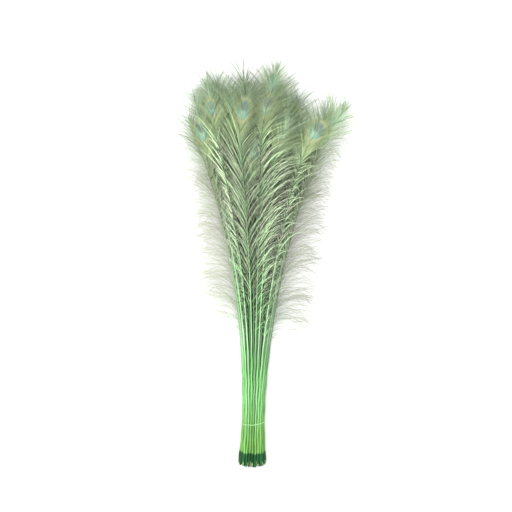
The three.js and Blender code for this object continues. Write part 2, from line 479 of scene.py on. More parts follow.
def draw_shaft(feather, rng):
    """Points and triangles, and for each point its distance from the cut end and its painted groove
    shading.
    """
    stops, frames = shaft_frames(feather, rng)
    bm = bmesh.new()
    reach = bm.verts.layers.float.new("reach")
    groove_shading = bm.verts.layers.float.new("groove_shading")
    ring = bmesh.ops.create_circle(bm, cap_ends=True, segments=SHAFT_SIDES, radius=1)["verts"]
    cap = bm.faces[:]
    for vert in ring:
        vert[groove_shading] = rng.uniform()
    bmesh.ops.transform(bm, matrix=frames[0], verts=ring)
    edges = bm.edges[:]
    for before, after, stop in zip(frames, frames[1:], stops[1:]):
        grown = bmesh.ops.extrude_edge_only(bm, edges=edges)["geom"]
        edges = [e for e in grown if isinstance(e, bmesh.types.BMEdge)]
        ring = [v for v in grown if isinstance(v, bmesh.types.BMVert)]
        bmesh.ops.transform(bm, matrix=after @ before.inverted(), verts=ring)
        for vert in ring:
            vert[reach] = stop
    bmesh.ops.contextual_create(bm, geom=edges)
    bmesh.ops.inset_region(bm, faces=cap, thickness=CUT_WALL, use_even_offset=True)
    bore = bmesh.ops.extrude_face_region(bm, geom=cap)["geom"]
    bore_verts = [v for v in bore if isinstance(v, bmesh.types.BMVert)]
    for vert in bore_verts + list(cap[0].verts):
        vert[reach] = INSIDE_CUT
    bmesh.ops.translate(bm, vec=Vector(feather.shaft.along(0.0)) * CUT_DEPTH, verts=bore_verts)
    bmesh.ops.delete(bm, geom=cap, context="FACES_ONLY")
    bmesh.ops.recalc_face_normals(bm, faces=bm.faces[:])
    bmesh.ops.triangulate(bm, faces=bm.faces[:])
    bm.verts.index_update()
    points = np.array([tuple(v.co) for v in bm.verts])
    triangles = np.array([[v.index for v in f.verts] for f in bm.faces])
    reaches = np.array([v[reach] for v in bm.verts])
    groove_shadings = np.array([v[groove_shading] for v in bm.verts])
    bm.free()
    return points, triangles, reaches, groove_shadings


points, triangles, _, _ = draw_shaft(feathers[0], np.random.default_rng(0))
print(f"a shaft has {len(points)} points and {len(triangles)} triangles")

# %% [markdown]
# ## Where barbs grow
# Loose barbs are what make the bunch: each leaves the shaft at a slant, bends outwards and thins to
# nothing. Low on the shaft they stand far apart, and round the eye they lie close, as one web. Their
# roots are therefore counted off along the shaft by a gap that shrinks on the way up.

# %% Roots
HEAD_BELOW_EYE = 62 * MM
HEAD_BLEND = 25 * MM
HEAD_GAP = 0.5 * MM
RIM_HEAD_GAP = 2.4 * MM
FRONT_RIMS = (45, 51)
FRONT_RIM_HEAD_GAP = 1.0 * MM
GAP_PLACES = np.array([0, 60, 150, 300]) * MM
GAPS = np.array([14, 6.5, 3.4, 2.8]) * MM
RIM_GAPS = {-1: np.array([4.2, 4.2, 3.6, 3]) * MM, 1: np.array([2.6, 4.4, 4.2, 3.4]) * MM}
LOCK_SIZE = 2
ROOT_PULL = 0.1
ROOT_SCATTER = 0.9
COUNTING_STEPS = 800


def in_head(feather, distance):
    """0 on the loose lower barbs, 1 in the close web round the eye."""
    return np.clip((distance - feather.eye + HEAD_BELOW_EYE) / HEAD_BLEND + 0.5, 0, 1)


def barb_roots(feather, side, rng):
    """Distances along the shaft where barbs leave one side of it, drawn together in locks."""
    s = np.linspace(feather.vane_start, feather.shaft_end, COUNTING_STEPS)
    gaps, head_gap = GAPS, HEAD_GAP
    if feather.free[side]:
        gaps = RIM_GAPS[side]
        head_gap = FRONT_RIM_HEAD_GAP if feather.number in FRONT_RIMS else RIM_HEAD_GAP
    gaps = np.interp(s - feather.vane_start, GAP_PLACES, gaps)
    gaps = gaps + (head_gap - gaps) * in_head(feather, s)
    counted = np.concatenate([[0], np.cumsum(np.diff(s) / gaps[1:])])
    whole = np.arange(int(counted[-1]))
    roots = np.interp(whole + rng.uniform(0, ROOT_SCATTER, len(whole)), counted, s)
    lock_roots = roots[whole // LOCK_SIZE * LOCK_SIZE]
    pull = 0 if feather.free[side] else ROOT_PULL * (1 - in_head(feather, roots))
    return roots + pull * (lock_roots - roots)


print("barbs on one side:", len(barb_roots(feathers[0], 1, np.random.default_rng(0))))

# %% [markdown]
# ## Where barbs end
# On the rim of the bunch barbs reach out to the edge of the feather's solid, a few all the way and most
# not quite. Inside the bunch a barb that points away from the front feather lies over its neighbours,
# and one that points towards it is tucked under them. Only a few of these get past the rim. In the head
# the ends are spread like a fan about the eye, and their lengths differ, or the outline would look
# trimmed. The longest few are wisps.

# %% Ends
RIM_SWEEP = {-1: 42 * MM, 1: 52 * MM}
SHORTEST_ON_RIM = {-1: 0.6, 1: 0.78}
PAST_EDGE = 1.07
INNER_SWEEP = {-1: 1.8, 1: 0.95}
REACH_SHARES = (0, 0.1, 0.24, 0.65, 0.9, 1)
OUTWARD_REACH = np.array([34, 50, 60, 52, 36, 7]) * MM
INWARD_REACH = np.array([6, 7, 8, 10, 22, 7]) * MM
LEAST_REACH = 2 * MM
OUTWARD_LIFT = 5.0 * MM
INWARD_DROP = 5.0 * MM
OVER_RIM = {-1: (-14 * MM, 26 * MM), 1: (-16 * MM, 36 * MM)}
FAN_ANGLES = np.radians([0, 45, 75, 100])
FAN_REACH = np.array([62, 61, 55, 45]) * MM
FAN_WIDEST = FAN_ANGLES[-1]
SHORTEST_IN_HEAD = 0.48
MOSTLY_SHORT = 1.7
WISPS = 0.08
WISP_EXTRA = 0.02


def side_ways(feather, side, distance):
    """Level unit direction away from the shaft."""
    along = feather.shaft.along(distance)
    level = side * np.cross(along, (0, 0, 1))
    return level / np.linalg.norm(level, axis=-1, keepdims=True)


def loose_width(feather, side, roots, draw):
    """How far from the shaft loose barbs end; draw spreads their lengths."""
    if feather.free[side]:
        shortest = SHORTEST_ON_RIM[side]
        tips = roots + RIM_SWEEP[side]
        span = feather.edges[side].at(tips) - feather.shaft.at(tips)
        return np.linalg.norm(span, axis=1) * (shortest + (PAST_EDGE - shortest) * draw)
    share = (roots - feather.vane_start) / (feather.tip - feather.vane_start)
    reach = np.interp(share, REACH_SHARES, OUTWARD_REACH if feather.outward[side] else INWARD_REACH)
    rim = by_name[feather.rims[side]].shaft.at(roots)
    room = np.linalg.norm(rim - feather.shaft.at(roots), axis=1)
    room = room + np.interp(draw**2, (0, 1), OVER_RIM[side])
    return np.clip(room, LEAST_REACH, reach)


def loose_end(feather, side, tips, width):
    """Where loose barbs end that reach as high as some distance along the shaft."""
    shaft = feather.shaft.at(tips)
    if feather.free[side]:
        span = feather.edges[side].at(tips) - shaft
        return shaft + span / np.linalg.norm(span, axis=1, keepdims=True) * width[:, None]
    end = shaft + side_ways(feather, side, tips) * width[:, None]
    end[:, 2] += OUTWARD_LIFT if feather.outward[side] else -INWARD_DROP
    return end


def head_end(feather, side, roots, draw, turn):
    """Places spread like a fan about the eye, from beside it to straight above, or somewhat short of it."""
    eye = feather.shaft.at(feather.eye)
    first = feather.eye - HEAD_BELOW_EYE
    share = np.clip((roots - first) / (feather.shaft_end - first), 0, 1)
    angle = np.clip(FAN_WIDEST * (1 - share) + turn, 0, FAN_WIDEST)[:, None]
    out = feather.edges[side].at(feather.eye) - eye
    out /= np.linalg.norm(out)
    kept = SHORTEST_IN_HEAD + (1 - SHORTEST_IN_HEAD) * draw[:, None] ** MOSTLY_SHORT
    kept = kept + WISP_EXTRA * (draw[:, None] > 1 - WISPS)
    reach = np.interp(angle, FAN_ANGLES, FAN_REACH) * kept
    return eye + reach * (out * np.sin(angle) + feather.shaft.along(feather.eye) * np.cos(angle))


print(f"barbs in a head reach up to {FAN_REACH.max() / MM:.0f} mm from the eye")

# %% [markdown]
# ## Locks and clumps
# Loose barbs lie in pairs, and the second of most pairs is shorter, a little lower and wider, and its
# colour is darkened with painted shade, which paints the dark gaps that make a bunch of feathers look
# deep. In the head they hold together in small clumps. All that chance decides about the barbs of one
# side is drawn here, so that the steps that follow only place them.

# %% Strands
CLUMP_SIZE = 8
LOCK_PULL = 0.4
LOW_STRANDS = 0.9
LOW_DRAW = 0.3


class Strands:
    """One side's barbs: their roots, locks and clumps, and the draws that make them differ."""

    def __init__(self, feather, side, rng):
        self.roots = barb_roots(feather, side, rng)
        count = len(self.roots)
        numbers = np.arange(count)
        self.free = feather.free[side]
        self.head = in_head(feather, self.roots)
        self.loose = 1 - self.head
        self.locks = numbers // LOCK_SIZE
        self.clumps = numbers // CLUMP_SIZE
        self.lock_swing = rng.normal(size=(self.locks[-1] + 1, 4))[self.locks]
        self.swing = rng.normal(size=(count, 4))
        lock_length = rng.uniform(size=self.locks[-1] + 1)[self.locks]
        self.length = rng.uniform(size=count)
        self.clump_turn = rng.normal(size=self.clumps[-1] + 1)[self.clumps]
        chance_low = 0 if self.free else LOW_STRANDS
        self.low = rng.uniform(size=count) < chance_low * self.loose * (numbers % LOCK_SIZE)
        self.wisp = (self.length > 1 - WISPS) & (self.head > 0.5)
        paired = LOCK_PULL * lock_length + (1 - LOCK_PULL) * self.length
        loose_length = self.length if self.free else paired
        self.loose_length = np.where(self.low, LOW_DRAW * loose_length, loose_length)


strands = Strands(feathers[0], 1, np.random.default_rng(0))
print(f"{strands.low.sum()} of {len(strands.roots)} barbs lie low, {strands.wisp.sum()} are wisps")

# %% [markdown]
# ## How barbs bend
# A barb starts along the shaft and curves away from it, so it runs from its root to its end and is
# drawn towards an elbow on the way. On the rim it arches over, and its end droops. Barbs that lie over
# their neighbours rise more than those that are tucked under them.

# %% Bends
SHORT_SWEEP = 0.4
LOCK_SCATTER = 7 * MM
INNER_SCATTER = 5 * MM
RIM_SCATTER = 13 * MM
LOWEST_TIP = 5 * MM
FAN_SCATTER = math.radians(4)
OWN_TURN = 0.6
LOCK_HEAVE = 1.6 * MM
LOOSE_HEAVE = 0.8 * MM
OWN_HEAVE = 0.5 * MM
LOW_DROP = 0.9 * MM
ARCH = 0.62
INNER_ARCH = {-1: 0.62, 1: 0.95}
RIM_ARCH = 1.5
ELBOW_OUT = 0.36
RIM_ELBOW_OUT = 0.5
LEAST_LEAD = 0.32
INNER_LEAD_SPREAD = 0.15
RIM_LEAD_SPREAD = 0.45
BARB_RISE = 3.0 * MM
FLAT_RISE = BARB_RISE / 3
LOCK_PUFF = 1 * MM


def barb_ends(feather, side, strands):
    """Where barbs end: beside the shaft while they are loose, fanned about the eye in the head."""
    roots, loose = strands.roots, strands.loose
    width = loose_width(feather, side, roots, strands.loose_length)
    sweep = INNER_SWEEP[side] * width
    own_scatter = INNER_SCATTER
    if strands.free:
        sweep = RIM_SWEEP[side] * (SHORT_SWEEP + (1 - SHORT_SWEEP) * strands.loose_length)
        own_scatter = RIM_SCATTER
    scatter = LOCK_SCATTER * strands.lock_swing[:, 0] + own_scatter * strands.swing[:, 0]
    lowest = feather.vane_start + LOWEST_TIP
    tips = np.clip(roots + sweep + loose * scatter, lowest, feather.tip)
    turn = FAN_SCATTER * (strands.clump_turn + OWN_TURN * strands.swing[:, 1])
    head_place = head_end(feather, side, roots, strands.length, turn)
    loose_place = loose_end(feather, side, tips, width)
    end = loose_place * loose[:, None] + head_place * strands.head[:, None]
    heave = LOCK_HEAVE * strands.lock_swing[:, 2] + LOOSE_HEAVE * strands.swing[:, 2]
    end[:, 2] += loose * heave + OWN_HEAVE * strands.swing[:, 3]
    end[:, 2] -= strands.low * LOW_DROP
    return end


def barb_elbows(feather, side, strands, start, end):
    """The places that barbs bend towards on their way."""
    loose = strands.loose
    along = feather.shaft.along(strands.roots)
    across = side_ways(feather, side, strands.roots)
    forward = np.sum((end - start) * along, axis=1)
    outward = np.sum((end - start) * across, axis=1)
    loose_arch, loose_out, spread = INNER_ARCH[side], ELBOW_OUT, INNER_LEAD_SPREAD
    if strands.free:
        loose_arch, loose_out, spread = RIM_ARCH, RIM_ELBOW_OUT, RIM_LEAD_SPREAD
    arch = ARCH + (loose_arch - ARCH) * loose
    elbow_out = ELBOW_OUT + (loose_out - ELBOW_OUT) * loose
    lead = np.maximum(arch * forward, LEAST_LEAD * np.abs(outward))
    lead = lead * (1 + spread * loose * strands.swing[:, 2])
    elbow = start + along * lead[:, None] + across * (elbow_out * outward)[:, None]
    rise = BARB_RISE if feather.outward[side] and not strands.free else FLAT_RISE
    puff = loose * np.abs(strands.lock_swing[:, 3]) * LOCK_PUFF
    elbow[:, 2] = (start[:, 2] + end[:, 2]) / 2 + rise + puff - strands.low * LOW_DROP
    return elbow


heights = barb_ends(feathers[0], 1, strands)[:, 2] / MM
print(f"ends {heights.min():.0f} to {heights.max():.0f} mm up, where the floor doesn't stop them")

# %% [markdown]
# ## From bend to path
# Six places along each bend are enough for so thin a strand. A slow ripple sideways keeps loose strands
# from looking drawn with a ruler, and the floor stops those that would sink into it.

# %% Paths
BARB_STEPS = 5
SHARE = np.array([0, 0.2, 0.42, 0.66, 0.92, 1])
RIPPLE = 1.2 * MM
RIPPLE_TURN = 5
RIPPLE_STARTS = 6.3
LEAST_HEIGHT = 0.9 * MM


def barb_paths(feather, side, strands, rng):
    """Points along every barb of one side, from root to end."""
    start = feather.shaft.at(strands.roots)
    end = barb_ends(feather, side, strands)
    elbow = barb_elbows(feather, side, strands, start, end)
    t = SHARE[None, :, None]
    paths = (1 - t) ** 2 * start[:, None]
    paths = paths + 2 * t * (1 - t) * elbow[:, None] + t**2 * end[:, None]
    starts = rng.uniform(0, RIPPLE_STARTS, len(start))[:, None]
    ripple = np.sin(SHARE * RIPPLE_TURN + starts) * SHARE
    across = side_ways(feather, side, strands.roots)
    paths += (strands.loose * RIPPLE)[:, None, None] * ripple[..., None] * across[:, None]
    paths[..., 2] = np.maximum(paths[..., 2], LEAST_HEIGHT)
    return paths


paths = barb_paths(feathers[0], 1, strands, np.random.default_rng(0))
lengths = np.linalg.norm(np.diff(paths, axis=1), axis=2).sum(axis=1)
print(f"barbs of {lengths.min() / MM:.0f} to {lengths.max() / MM:.0f} mm on one side")

# %% [markdown]
# ## Blades
# Hair curves would be quick, but they don't survive an export, so every barb becomes a three-sided
# blade with a pointed end. All blades are numbered alike, so thousands of them come from arrays at
# once.

# %% Blades
INNER_WIDTH = 0.94 * MM
RIM_WIDTH = 0.4 * MM
HEAD_WIDTH = 0.72 * MM
WIDTH_SPREAD = (0.75, 1.2)
# Low barbs are wider, so that their painted shade fills the gaps between lit strands.
LOW_WIDER = 1.6
BLADE_TALLNESS = 0.35
INNER_TAPER = np.array([1, 0.95, 0.8, 0.5, 0.25, 0])
RIM_TAPER = np.array([0.8, 0.9, 1, 0.95, 0.8, 0])
HEAD_TAPER = np.array([1, 0.95, 0.7, 0.28, 0.14, 0])
WISP_TAPER = np.array([0.6, 0.6, 0.7, 0.8, 0.8, 0])
LOOSE_ROLL = 0.5
CALM_IN_HEAD = 0.35


def blade_triangles(count):
    """Corner numbers of closed three-sided blades that end in a point, facing outwards."""
    rows = []
    for step in range(BARB_STEPS - 1):
        for k in range(3):
            a, b = step * 3 + k, step * 3 + (k + 1) % 3
            rows += [(b, a, a + 3), (b, a + 3, b + 3)]
    last = (BARB_STEPS - 1) * 3
    rows += [(last + (k + 1) % 3, last + k, last + 3) for k in range(3)]
    rows.append((0, 1, 2))
    offsets = np.arange(count)[:, None, None] * (last + 4)
    return (np.array(rows)[None] + offsets).reshape(-1, 3)


def blade_points(strands, paths, rng):
    """Three corners round every place on a barb, and its pointed end."""
    count = len(paths)
    runs = np.gradient(paths, axis=1)
    runs /= np.linalg.norm(runs, axis=2, keepdims=True)
    flat = np.cross(runs, (0, 0, 1))
    flat /= np.linalg.norm(flat, axis=2, keepdims=True)
    up = np.cross(flat, runs)
    roll = (rng.normal(size=count) * (LOOSE_ROLL - CALM_IN_HEAD * strands.head))[:, None, None]
    wide = flat * np.cos(roll) + up * np.sin(roll)
    tall = up * np.cos(roll) - flat * np.sin(roll)
    loose_full, loose_taper = INNER_WIDTH, INNER_TAPER
    if strands.free:
        loose_full, loose_taper = RIM_WIDTH, RIM_TAPER
    full = (loose_full + (HEAD_WIDTH - loose_full) * strands.head) * rng.uniform(*WIDTH_SPREAD, count)
    full = np.where(strands.low, full * LOW_WIDER, full)
    taper = loose_taper + (HEAD_TAPER - loose_taper) * strands.head[:, None]
    taper = np.where(strands.wisp[:, None], WISP_TAPER, taper)
    half = (full[:, None] * taper)[..., None] / 2
    ridge = paths + tall * half * BLADE_TALLNESS
    corners = np.stack([paths - wide * half, paths + wide * half, ridge], axis=2)
    return np.concatenate([corners[:, :-1].reshape(count, -1, 3), paths[:, -1:]], axis=1)


blades = blade_points(strands, paths, np.random.default_rng(0))
print(f"{len(blades)} blades of {blades.shape[1]} points on one side")

# %% [markdown]
# ## Tones
# No two strands take the dye alike. A strand's tone has a share that all have, one of its own and one
# of its lock or clump. The front feather is a little darker than those beside it. Painted shade darkens
# barbs tucked under others and the low barbs of the locks, and on the rim only the roots get painted
# shade. Every point carries what the finish will ask: how far along the barb it is, how bright its
# strand is and how much painted shade it gets for lying deep in the bunch.

# %% Tones
INNER_TONE = np.array([1.62, 1.0, 0.35])
RIM_TONE = np.array([0.84, 0.36, 0])
# Painted shade: low barbs are given dark tones that stand for the shaded gaps between strands.
LOW_PAINTED_SHADE_TONE = np.array([0.26, 0.34, 0])
WEB_TONE = np.array([0.4, 0.3, 0.78])
HEAD_TONES = {47: 0.84, 48: 0.82, 39: 1.2, 41: 1.1, 40: 1.15, 50: 1.08, 51: 1.15}
FRONT_TONE = 0.68
INWARD_PAINTED_SHADE = 0.55
LEFT_PALER = 1.32
# Painted shade is lifted from rim barbs away from their roots, and from barbs in the head.
RIM_LIGHTENS = 2.2
HEAD_LIGHTENS = 0.8
RIM_FADE = 0.75


def strand_tones(feather, side, strands, rng):
    """How bright each strand is: a share that all have, one of its own and one of its lock or clump, with
    painted shade on low barbs and on barbs tucked under others.
    """
    head = strands.head
    own = rng.uniform(size=len(head))
    lock = rng.uniform(size=strands.locks[-1] + 1)[strands.locks]
    clump = rng.uniform(size=strands.clumps[-1] + 1)[strands.clumps]
    in_lock = np.stack([np.ones(len(head)), own, lock])
    in_clump = np.stack([np.ones(len(head)), own, clump])
    loose_tone = (RIM_TONE if strands.free else INNER_TONE) @ in_lock
    if feather.name == FRONT_FEATHER:
        loose_tone = loose_tone * FRONT_TONE
    web_tone = WEB_TONE @ in_clump * HEAD_TONES.get(feather.number, 1)
    tone = np.where(strands.low, LOW_PAINTED_SHADE_TONE @ in_lock, loose_tone * strands.loose + web_tone * head)
    # Painted shade: barbs tucked under their neighbours are darker.
    if not feather.outward[side]:
        return tone * (INWARD_PAINTED_SHADE + (1 - INWARD_PAINTED_SHADE) * head)
    if side < 0:
        return tone * (LEFT_PALER + (1 - LEFT_PALER) * head)
    return tone


def barb_blades(feather, side, rng):
    """Points, triangles, attributes and fade of one side's barbs."""
    strands = Strands(feather, side, rng)
    blades = blade_points(strands, barb_paths(feather, side, strands, rng), rng)
    share = np.concatenate([np.repeat(SHARE[:-1], 3), [1.0]])
    # Painted shade: barbs of feathers deep in the bunch are darkened, less in the head, and on the rim only
    # near the roots.
    depth = (1 - HEAD_LIGHTENS * strands.head)[:, None]
    if strands.free:
        depth = np.clip(1 - RIM_LIGHTENS * share, 0, 1)[None]
    strand = np.empty(blades.shape)
    strand[..., 0] = share
    strand[..., 1] = strand_tones(feather, side, strands, rng)[:, None]
    strand[..., 2] = feather.gloom * depth
    fades = rng.uniform(RIM_FADE if strands.free else 0, 1, len(blades)) * strands.loose
    return blades, blade_triangles(len(blades)), strand, np.repeat(fades, len(share))


blades, triangles, _, _ = barb_blades(feathers[0], 1, np.random.default_rng(0))
print(f"{len(blades)} blades on one side, {len(triangles)} triangles")

# %% [markdown]
# ## What the colours know
# The eye is drawn by place on the feather, not on the barb, so every point also carries its place
# relative to the eye: millimetres across the shaft and along it. Most heads lie turned over or under
# others, and only ten eyes show, some of them without their spot or ring. Three strengths tell how
# clearly lens, spot and ring show.

# %% Eyes
CLEAR_EYE = (1.0, 1.0, 1.0)
EYES_SHOWN = {
    45: CLEAR_EYE,
    46: (1.0, 0.7, 1.0),
    47: CLEAR_EYE,
    50: CLEAR_EYE,
    48: (0.45, 0.9, 0.5),
    40: (0.7, 0.3, 0.2),
    39: (0.9, 0.0, 0.2),
    49: (0.4, 0.0, 0.1),
    41: (0.75, 0.0, 0.0),
    51: (0.5, 0.0, 0.0),
}
EYE_TURNED_OVER = (0.1, 0.0, 0.0)
EYE_SIZES = {46: 0.78, 49: 0.7, 41: 0.85}


def eye_place(feather, points):
    """Across and along, in millimetres, from the middle of the eye."""
    across = side_ways(feather, 1, feather.eye)
    along = np.cross((0, 0, 1), across)
    offset = (points - feather.shaft.at(feather.eye)) / (EYE_SIZES.get(feather.number, 1) * MM)
    return offset @ across, offset @ along


print(f"{len(EYES_SHOWN)} eyes show, {len(feathers) - len(EYES_SHOWN)} are turned over")

# %% [markdown]
# ## One mesh for each feather
# A feather is one grown piece, so its shaft and all its barbs become one mesh with two finishes. Its
# points carry three attributes: strand, place and eye. Shafts deep in the bunch, or buried under their
# neighbours' barbs, are given more painted shade.

# %% One mesh for each feather
STREAK = 13 * MM
SHAFT_TONE_SHARES = np.array([0.45, 0.2, 0.35])
# Painted shade on shafts buried under their neighbours' barbs, and on the rim shafts.
BURIED = (390 * MM, 480 * MM)
BURIED_GLOOM = 0.65
RIM_SHAFT_GLOOM = 0.5
RIGHT_RIM_GLOOM = 0.55


def add_attribute(mesh, name, values):
    attribute = mesh.attributes.new(name, "FLOAT_VECTOR", "POINT")
    attribute.data.foreach_set("vector", np.ascontiguousarray(values, np.float32).ravel())


def mesh_of_triangles(name, points, triangles):
    mesh = bpy.data.meshes.new(name)
    mesh.vertices.add(len(points))
    mesh.vertices.foreach_set("co", np.ascontiguousarray(points, np.float32).ravel())
    mesh.loops.add(triangles.size)
    mesh.loops.foreach_set("vertex_index", triangles.astype(np.int32).ravel())
    mesh.polygons.add(len(triangles))
    mesh.polygons.foreach_set("loop_start", np.arange(0, triangles.size, 3, dtype=np.int32))
    mesh.polygons.foreach_set("use_smooth", np.ones(len(triangles), bool))
    mesh.update(calc_edges=True)
    return mesh


def shaft_gloom(feather, reaches):
    """How much painted shade darkens a shaft at some distances: deep in the bunch, or buried under its
    neighbours' barbs.
    """
    if feather.name == FRONT_FEATHER or feather.free[-1]:
        return feather.gloom
    if feather.free[1]:
        return np.interp(reaches, BURIED, (RIGHT_RIM_GLOOM, RIM_SHAFT_GLOOM))
    return np.maximum(feather.gloom, np.interp(reaches, BURIED, (0, BURIED_GLOOM)))


def grow_feather(feather, shaft_finish, barb_finish):
    """A feather's shaft and barbs as one object with two finishes."""
    rng = np.random.default_rng(feather.number)
    shaft_points, shaft_triangles, reaches, groove_shadings = draw_shaft(feather, rng)
    shaft_strand = np.empty((len(reaches), 3))
    shaft_strand[:, 0] = reaches
    tone_places = np.arange(0, feather.tip, STREAK)
    streaks = np.interp(reaches, tone_places, rng.uniform(size=len(tone_places)))
    own_tone = np.full(len(reaches), rng.uniform())
    # The groove share paints lines of shade and highlight along the shaft.
    shaft_strand[:, 1] = SHAFT_TONE_SHARES @ np.stack([own_tone, streaks, groove_shadings])
    shaft_strand[:, 2] = shaft_gloom(feather, reaches)
    blocks = [(shaft_points, shaft_triangles, shaft_strand, np.zeros(len(reaches)))]
    for side in SIDES:
        blades, blade_tris, strand, fades = barb_blades(feather, side, rng)
        blocks.append((blades.reshape(-1, 3), blade_tris, strand.reshape(-1, 3), fades))
    starts = np.cumsum([0] + [len(block[0]) for block in blocks[:-1]])
    points = np.concatenate([block[0] for block in blocks])
    triangles = np.concatenate([block[1] + start for block, start in zip(blocks, starts)])
    mesh = mesh_of_triangles(f"plume_{feather.number:02d}", points, triangles)
    add_attribute(mesh, "strand", np.concatenate([block[2] for block in blocks]))
    across, along = eye_place(feather, points)
    fades = np.concatenate([block[3] for block in blocks])
    add_attribute(mesh, "place", np.stack([across, along, fades], axis=1))
    shown = EYES_SHOWN.get(feather.number, EYE_TURNED_OVER)
    add_attribute(mesh, "eye", np.tile(shown, (len(points), 1)))
    mesh.materials.append(shaft_finish)
    mesh.materials.append(barb_finish)
    finish_index = np.ones(len(triangles), np.int32)
    finish_index[: len(shaft_triangles)] = 0
    mesh.polygons.foreach_set("material_index", finish_index)
    plume = bpy.data.objects.new(mesh.name, mesh)
    bpy.context.scene.collection.objects.link(plume)
    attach(plume, "root")
    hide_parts(feather.name)
    return plume


print("gloom of a front shaft, before and after it is buried:", shaft_gloom(feathers[-2], np.array(BURIED)))

# %% [markdown]
# ## The finish of a barb
# Dyed barbs run from green at the shaft to pale at the tip, and no two strands have the same tone.
# Round the eye the natural pattern shows through the dye: a grey-violet spot, a turquoise lens with a
# painted highlight low in it, a gold-olive ring. Barbs deep in the bunch are darkened with painted shade.

# %% Barb finish
ROOT_DYE = dye(138, 170, 127)
MIDDLE_DYE = dye(170, 194, 156)
TIP_DYE = dye(176, 190, 164)
FADED_DYE = dye(172, 164, 150)
LOW_VANE_DYE = dye(130, 190, 124)
NECK_DYE = dye(160, 182, 138)
CROWN_DYE = dye(160, 182, 150)
FLARE_DYE = dye(164, 182, 135)
RING_DYE = dye(180, 188, 142)
LENS_DYE = dye(150, 186, 158)
# Painted highlight in the lower part of the lens.
LENS_PAINTED_HIGHLIGHT_COLOUR = dye(174, 208, 182)
SPOT_DYE = dye(140, 154, 138)
# shares of a barb's length, and of its own fading
LOWER_SHARES = (0.0, 0.4)
UPPER_SHARES = (0.4, 1.0)
FADED_SHARES = (0.5, 1.0)
# millimetres along the shaft from the eye
LOW_VANE_RANGE = (-440.0, -330.0)
NECK_RANGE = (-95.0, -20.0)
CROWN_RANGE = (8.0, 34.0)
# half width, half length and height of the middle, in millimetres from the middle of the eye
FLARE_OVAL = (24.0, 44.0, -12.0)
RING_OVAL = (18.0, 25.0, -1.0)
LENS_OVAL = (14.0, 20.5, -1.0)
LENS_PAINTED_HIGHLIGHT_OVAL = (8.0, 9.0, -9.0)
SPOT_OVAL = (9.0, 11.5, 6.5)
# where an oval starts and stops fading, as shares of its size
FLARE_EDGE = (0.6, 1.1)
RING_EDGE = (0.92, 1.06)
LENS_EDGE = (0.8, 1.05)
LENS_PAINTED_HIGHLIGHT_EDGE = (0.0, 1.3)
SPOT_EDGE = (0.45, 1.15)
PATTERN_EDGE = (0.9, 1.2)
FADING = 0.75
LENS_PAINTED_HIGHLIGHT_STRENGTH = 0.8
EYE_TONE = 0.92
EYE_EVENNESS = 0.6
# How far a barb's painted shade darkens its colour.
BARB_GLOOM = 0.72


def barb_material():
    material, ink, surface = new_finish("dyed_barb_painted_shade")
    share, tone, gloom = ink.attribute("strand")
    across, along, faded = ink.attribute("place")
    lens_shown, spot_shown, ring_shown = ink.attribute("eye")

    def inside(oval, edge):
        """1 within an oval on the feather, 0 outside it."""
        half_across, half_along, middle = oval
        distance = ((across / half_across) ** 2 + ((along - middle) / half_along) ** 2) ** 0.5
        return 1 - distance.rises(*edge)

    colour = share.rises(*LOWER_SHARES).blend(ROOT_DYE, MIDDLE_DYE)
    colour = share.rises(*UPPER_SHARES).blend(colour, TIP_DYE)
    colour = (faded.rises(*FADED_SHARES) * FADING).blend(colour, FADED_DYE)
    colour = along.rises(*LOW_VANE_RANGE).blend(LOW_VANE_DYE, colour)
    colour = along.rises(*NECK_RANGE).blend(colour, NECK_DYE)
    colour = along.rises(*CROWN_RANGE).blend(colour, CROWN_DYE)
    colour = (inside(FLARE_OVAL, FLARE_EDGE) * ring_shown).blend(colour, FLARE_DYE)
    colour = (inside(RING_OVAL, RING_EDGE) * ring_shown).blend(colour, RING_DYE)
    colour = (inside(LENS_OVAL, LENS_EDGE) * lens_shown).blend(colour, LENS_DYE)
    # Painted highlight: a paler patch low in the lens.
    colour = (inside(LENS_PAINTED_HIGHLIGHT_OVAL, LENS_PAINTED_HIGHLIGHT_EDGE) * lens_shown * LENS_PAINTED_HIGHLIGHT_STRENGTH).blend(colour, LENS_PAINTED_HIGHLIGHT_COLOUR)
    colour = (inside(SPOT_OVAL, SPOT_EDGE) * spot_shown).blend(colour, SPOT_DYE)
    patterned = lens_shown * inside(RING_OVAL, PATTERN_EDGE)
    even_tone = tone + (EYE_TONE - tone) * (patterned * EYE_EVENNESS)
    # Painted shade: the strand's gloom darkens its colour.
    feed(surface, "Base Color", colour.tinted(even_tone * (1 - gloom * BARB_GLOOM)))
    surface.inputs["Roughness"].default_value = 0.55
    surface.inputs["Specular IOR Level"].default_value = 0.12
    return material


barb_finish = barb_material()
print(f"{barb_finish.name}: {len(barb_finish.node_tree.nodes)} nodes")

# %% [markdown]
# ## The finish of a shaft
# The dye takes brightly on the smooth shaft, and the light runs along it in a thin highlight. Towards
# the cut end the green turns yellower, then dark emerald where the quill stood in the dye. The cut
# shows the quill's pale inside. Painted shade darkens shafts deep in the bunch or under barbs, more so
# farther from the cut end.

# %% Shaft finish
QUILL_DYE = dye(122, 180, 90)
STEM_DYE = dye(148, 212, 138)
BRIGHT_STEM_DYE = dye(172, 226, 164)
UPPER_SHAFT_DYE = dye(146, 170, 126)
DIPPED_DARK_DYE = dye(0, 26, 12)
DIPPED_DYE = dye(36, 116, 58)
INSIDE_DYE = dye(196, 206, 150)
